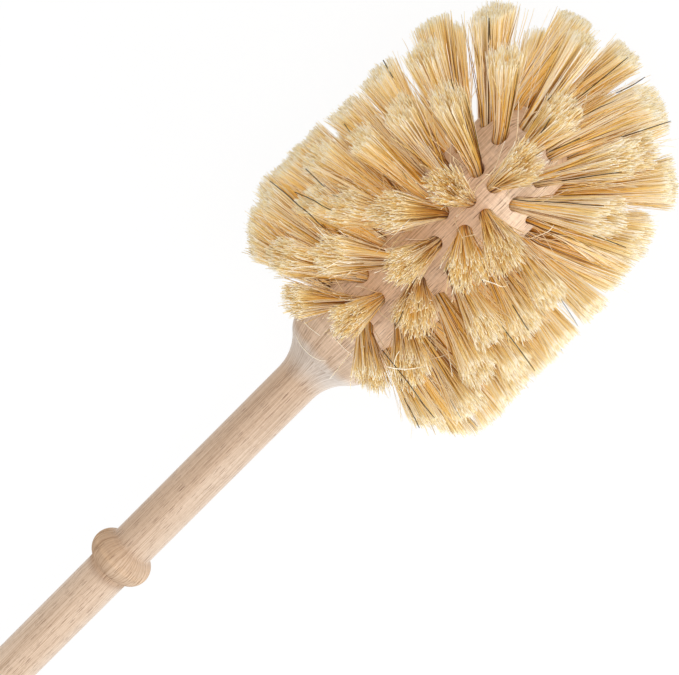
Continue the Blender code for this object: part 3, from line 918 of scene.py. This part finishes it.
def reach_to_trim(starts, ways):
    """How far each line runs to the trimmed outline: wall, round end, slanted edge or floor."""
    across = (ways[:, 1:] ** 2).sum(1)
    middle = (starts[:, 1:] * ways[:, 1:]).sum(1)
    rest = (starts[:, 1:] ** 2).sum(1) - TRIM_RADIUS ** 2
    to_wall = (-middle + np.sqrt(middle ** 2 - across * rest)) / across
    from_ball = starts - np.array((TRIM_CENTRE, 0, 0))
    middle = (from_ball * ways).sum(1)
    rest = (from_ball ** 2).sum(1) - TRIM_RADIUS ** 2
    to_ball = -middle + np.sqrt(np.maximum(middle ** 2 - rest, 0))
    beyond = starts[:, 0] + to_wall * ways[:, 0] > TRIM_CENTRE
    reach = np.where(beyond, to_ball, to_wall)
    before = TRIM_RADIUS - TRIM_EDGE_SLOPE * (TRIM_EDGE_START - starts[:, 0])
    growth = TRIM_EDGE_SLOPE * ways[:, 0]
    square = across - growth ** 2
    middle = (starts[:, 1:] * ways[:, 1:]).sum(1) - before * growth
    rest = (starts[:, 1:] ** 2).sum(1) - before ** 2
    root = middle ** 2 - square * rest
    slanted = (ways[:, 0] < 0) & (square > NEARLY_PARALLEL) & (root > 0)
    to_edge = (-middle + np.sqrt(np.where(slanted, root, 1))) / np.where(slanted, square, 1)
    reach = np.where(slanted, np.minimum(reach, to_edge), reach)
    down = ways[:, 2] < -1e-6
    drop = FLOOR_HEIGHT + END_ABOVE_FLOOR - starts[:, 2]
    to_floor = np.where(down, drop / np.where(down, ways[:, 2], -1), 1)
    return np.minimum(reach, to_floor)


def disc_points(count, radius, turn):
    """Points spread over a disc like sunflower seeds, a little closer together near its edge."""
    number = np.arange(count)
    out = radius * ((number + 0.5) / count) ** DISC_FILL
    angle = number * math.pi * (3 - math.sqrt(5)) + turn
    return np.stack((out * np.cos(angle), out * np.sin(angle)), axis=1)


def make_fibre(name, shares):
    """One straight fibre of three sides, a metre long, with a corner ring at each share of it."""
    deselect_all()
    bpy.ops.mesh.primitive_circle_add(vertices=3, radius=1, fill_type="NGON", location=(0, 0, 0))
    fibre = bpy.context.active_object
    fibre.name = name
    bpy.ops.object.mode_set(mode="EDIT")
    bpy.ops.mesh.select_all(action="SELECT")
    for share, following in zip(shares, shares[1:]):
        step = (0, 0, following - share)
        bpy.ops.mesh.extrude_region_move(TRANSFORM_OT_translate={"value": step})
    bpy.ops.mesh.select_all(action="SELECT")
    bpy.ops.mesh.normals_make_consistent(inside=False)
    bpy.ops.object.mode_set(mode="OBJECT")
    return fibre


def grow_tuft(hole, drilled, aim, fullness, rng):
    """The paths, thicknesses and tones of one tuft's fibres."""
    count = FIBRES_PER_TUFT + LOOSE_HAIRS_PER_TUFT
    first = np.cross(aim, SIDE_HINT)
    first /= np.linalg.norm(first)
    second = np.cross(aim, first)
    plane = np.stack((first, second))
    roots = disc_points(count, BUNDLE_RADIUS, rng.uniform(*ANY_TURN))
    roots = roots + rng.normal(0, UNEVEN_ROOT, (count, 2))
    out = np.linalg.norm(roots, axis=1) / BUNDLE_RADIUS
    loose = np.arange(count) >= FIBRES_PER_TUFT

    lock_count = int(rng.integers(*LOCK_COUNTS))
    locks = disc_points(lock_count, BUNDLE_RADIUS * LOCK_SPAN, rng.uniform(*ANY_TURN))
    lock = np.argmin(((roots[:, None] - locks[None]) ** 2).sum(2), axis=1)
    streaks = disc_points(STREAKS_PER_TUFT, BUNDLE_RADIUS, rng.uniform(*ANY_TURN))
    streak = np.argmin(((roots[:, None] - streaks[None]) ** 2).sum(2), axis=1)
    spread = SPREAD * fullness * rng.uniform(*SPREAD_RANGE)
    lock_tips = locks * spread + rng.normal(0, UNEVEN_LOCK, locks.shape)
    tips = lock_tips[lock] + (roots - locks[lock]) * spread + rng.normal(0, UNEVEN_TIP, (count, 2))
    fold = rng.normal(0, 1, 2)
    fold /= np.linalg.norm(fold)
    tips += np.sign(roots @ fold)[:, None] * fold * rng.uniform(0, FOLD_WIDTH)
    stray = rng.random(count) < STRAY_SHARE
    tips += np.where(stray[:, None], rng.normal(0, UNEVEN_STRAY, (count, 2)), 0)
    tips += np.where(loose[:, None], rng.normal(0, UNEVEN_LOOSE, (count, 2)), 0)

    starts = hole + roots @ plane
    ways = hole + aim * FREE_LENGTH + tips @ plane - starts
    ways /= np.linalg.norm(ways, axis=1)[:, None]
    lengths = reach_to_trim(starts, ways)
    frayed = (FRAY_BASE + max(aim[2], 0) ** 2) * rng.uniform(*FRAY_RANGE)
    lock_cut = rng.normal(0, UNEVEN_LOCK_CUT, lock_count)[lock]
    lengths += lock_cut + rng.normal(0, UNEVEN_CUT * (CUT_BASE + frayed), count) - CUT_BACK
    short = rng.random(count) < SHORT_SHARE * frayed
    lengths -= np.where(short, rng.uniform(0, SHORT_BY, count), 0)
    lengths *= np.where(loose, rng.uniform(*LOOSE_LENGTHS, count), 1)

    share = np.array(FIBRE_SHARES)
    heights = -ROOT_SINK + (lengths[:, None] + ROOT_SINK) * share[None]
    bare = np.clip(heights / lengths[:, None], 0, 1)
    below = np.minimum(heights, 0)[..., None] * drilled
    turned = ways[:, None] + (drilled - aim) * (HOLE_HOLD * (1 - bare[..., None]) ** 2)
    paths = starts[:, None] + below + np.maximum(heights, 0)[..., None] * turned
    bend_share = np.where(loose, LOOSE_BEND, np.where(stray, STRAY_BEND, 1))
    bend = rng.normal(0, BEND, (count, 2)) * bend_share[:, None]
    wave = rng.normal(0, WAVE, (count, 2))
    phase = rng.uniform(*ANY_TURN, (count, 1))
    curl = rng.normal(0, CURL * frayed, (count, 2))
    sway = bend[:, None] * (bare ** 2)[..., None]
    sway += wave[:, None] * (np.sin(phase + WAVE_TURNS * bare) * bare)[..., None]
    curled = np.clip(bare - CURL_START, 0, 1) / CURL_LENGTH
    sway += curl[:, None] * curled[..., None] ** 2
    paths += sway @ plane
    paths[..., 2] = np.maximum(paths[..., 2], FLOOR_HEIGHT + PATH_ABOVE_FLOOR)

    thickness = FIBRE_RADIUS * rng.uniform(*THICKNESS_RANGE, count)
    tones = MIDDLE_TONE + RIM_TONE * out + rng.normal(0, UNEVEN_LOCK_TONE, lock_count)[lock]
    streak_tones = rng.normal(0, UNEVEN_STREAK_TONE, STREAKS_PER_TUFT)[streak]
    uneven = UNEVEN_TONE + UNEVEN_TONE_ABOVE * max(aim[2], 0)
    tones += streak_tones + rng.normal(0, uneven, count)
    tones = np.where(rng.random(count) < BROWN_SHARE, BROWN_TONE, tones)
    tones = np.clip(np.where(loose, LOOSE_TONE, tones), *TONE_LIMITS)
    rim = np.flatnonzero(out > RIM_START)
    tones[rng.choice(rim, rng.poisson(DARK_PER_TUFT), replace=False)] = DARK_HAIR
    outwards = tips @ plane + rng.normal(0, UNEVEN_FACING, (count, 3))
    return paths, thickness, tones, outwards


def gather(name, fibre, shares, paths, thickness, tones, outwards):
    """Lay a copy of the one fibre along every path, its broad side out, all in one piece."""
    model = fibre.data
    count = len(paths)
    size = len(model.vertices)
    points = np.array([vertex.co[:] for vertex in model.vertices])
    ring = np.abs(points[:, 2, None] - np.array(shares)[None]).argmin(1)
    ways = paths[:, -1] - paths[:, 0]
    ways /= np.linalg.norm(ways, axis=1)[:, None]
    broad = np.cross(ways, outwards)
    broad /= np.linalg.norm(broad, axis=1)[:, None]
    outward = np.cross(broad, ways)
    last_tenth = np.clip(points[:, 2] * 10 - 9, 0, 1)
    taper = 1 - TAPER * points[:, 2] - END_TAPER * last_tenth
    sized = thickness[:, None] * taper[None]
    across = (sized * points[None, :, 0] * FIBRE_BREADTH)[..., None] * broad[:, None]
    across += (sized * points[None, :, 1] * FIBRE_DEPTH)[..., None] * outward[:, None]
    places = (paths[:, ring] + across).reshape(-1, 3)

    corners = np.array([loop.vertex_index for loop in model.loops])
    starts = np.array([face.loop_start for face in model.polygons])
    steps = np.arange(count)[:, None]
    mesh = bpy.data.meshes.new(name)
    mesh.vertices.add(count * size)
    mesh.vertices.foreach_set("co", places.ravel())
    mesh.loops.add(count * len(corners))
    mesh.loops.foreach_set("vertex_index", (corners[None] + steps * size).ravel())
    mesh.polygons.add(count * len(starts))
    mesh.polygons.foreach_set("loop_start", (starts[None] + steps * len(corners)).ravel())
    strip = mesh.uv_layers.new(name="fibre")
    along = np.broadcast_to(points[corners, 2][None], (count, len(corners)))
    tone = np.broadcast_to(tones[:, None], (count, len(corners)))
    strip.data.foreach_set("uv", np.stack((tone, along), axis=2).ravel())
    mesh.update(calc_edges=True)
    piece = bpy.data.objects.new(name, mesh)
    bpy.context.scene.collection.objects.link(piece)
    make_active(piece)
    return piece


def make_tufts(places, material):
    """One piece of fibres for each ring, and one for the crown's two rings."""
    fibre = make_fibre("fibre", FIBRE_SHARES)
    names = [f"tuft_ring_{number}" for number in range(1, len(RINGS) + 1)] + ["tuft_crown"]
    for number, name in enumerate(names, 1):
        rng = np.random.default_rng(FIBRE_SEED * 100 + number)
        rings = (number,) if number <= len(RINGS) else (number, number + 1)
        grown = [grow_tuft(*place, rng) for ring, *place in places if ring in rings]
        parts = [np.concatenate(part) for part in zip(*grown)]
        piece = gather(name.replace("tuft_", "fibres_"), fibre, FIBRE_SHARES, *parts)
        piece.data.materials.append(material)
        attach(piece, "root")
        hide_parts(name)
    bpy.data.objects.remove(fibre)


def rounded_path(points, shares):
    """A smooth line through the points, at even shares of their steps."""
    points = np.array(points) / 1000
    held = np.vstack((2 * points[0] - points[1], points, 2 * points[-1] - points[-2]))
    steps = np.array(shares) * (len(points) - 1)
    first = np.minimum(steps.astype(int), len(points) - 2)
    part = (steps - first)[:, None]
    before, start, end, after = (held[first + ahead] for ahead in range(4))
    return 0.5 * (
        2 * start + (end - before) * part
        + (2 * before - 5 * start + 4 * end - after) * part ** 2
        + (3 * start - before - 3 * end + after) * part ** 3
    )


def lay_hairs(material):
    """The single hairs, all in one piece."""
    hair = make_fibre("hair", HAIR_SHARES)
    paths = np.array([rounded_path(points, HAIR_SHARES) for _, *points in LAID_HAIRS])
    tones = np.array([tone for tone, *_ in LAID_HAIRS])
    thickness = np.array([HAIR_RADII[tone] for tone in tones])
    outwards = np.tile(HAIR_FACING, (len(paths), 1))
    piece = gather("laid_hairs", hair, HAIR_SHARES, paths, thickness, tones, outwards)
    piece.data.materials.append(material)
    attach(piece, "root")
    bpy.data.objects.remove(hair)


def make_lights():
    """Even white light all round, and two round lamps above."""
    world = bpy.data.worlds.new("studio")
    bpy.context.scene.world = world
    world.use_nodes = True
    nodes, links = world.node_tree.nodes, world.node_tree.links
    background = nodes["Background"]
    background.inputs["Color"].default_value = (1, 1, 1, 1)
    background.inputs["Strength"].default_value = WORLD_LIGHT
    seen = nodes.new("ShaderNodeBackground")
    seen.inputs["Color"].default_value = (1, 1, 1, 1)
    path = nodes.new("ShaderNodeLightPath")
    mix = nodes.new("ShaderNodeMixShader")
    links.new(path.outputs["Is Camera Ray"], mix.inputs["Fac"])
    links.new(background.outputs[0], mix.inputs[1])
    links.new(seen.outputs[0], mix.inputs[2])
    links.new(mix.outputs[0], nodes["World Output"].inputs["Surface"])

    for name, (place, size, power) in LAMPS.items():
        data = bpy.data.lights.new(name, "AREA")
        data.shape = "DISK"
        data.size = size
        data.energy = power
        thing = bpy.data.objects.new(name, data)
        bpy.context.scene.collection.objects.link(thing)
        thing.location = place
        thing.rotation_euler = (LAMP_TARGET - Vector(place)).to_track_quat("-Z", "Y").to_euler()


def make_floor():
    """White ground. The camera sees most of it as plain white, so that shadows stay faint."""
    bpy.ops.mesh.primitive_plane_add(size=FLOOR_SIZE, location=(FLOOR_MIDDLE, 0, FLOOR_HEIGHT))
    floor = bpy.context.active_object
    floor.name = "floor"
    material, nodes, links = new_material("floor")
    shader = nodes["Principled BSDF"]
    shader.inputs["Base Color"].default_value = (FLOOR_GREY, FLOOR_GREY, FLOOR_GREY, 1)
    shader.inputs["Roughness"].default_value = 0.9
    glow = nodes.new("ShaderNodeEmission")
    glow.inputs["Color"].default_value = (1, 1, 1, 1)
    glow.inputs["Strength"].default_value = 1.0
    path = nodes.new("ShaderNodeLightPath")
    share = nodes.new("ShaderNodeMath")
    share.operation = "MULTIPLY"
    share.inputs[1].default_value = FLOOR_WHITE_SHARE
    mix = nodes.new("ShaderNodeMixShader")
    links.new(path.outputs["Is Camera Ray"], share.inputs[0])
    links.new(share.outputs[0], mix.inputs["Fac"])
    links.new(shader.outputs[0], mix.inputs[1])
    links.new(glow.outputs[0], mix.inputs[2])
    links.new(mix.outputs[0], nodes["Material Output"].inputs["Surface"])
    floor.data.materials.append(material)


bpy.context.scene.view_settings.view_transform = "Standard"
make_camera()
make_lights()
make_floor()
tuft_list = tuft_places()
make_turned_body(tuft_list, make_beech())
plant_fibre = make_plant_fibre()
make_tufts(tuft_list, plant_fibre)
lay_hairs(plant_fibre)
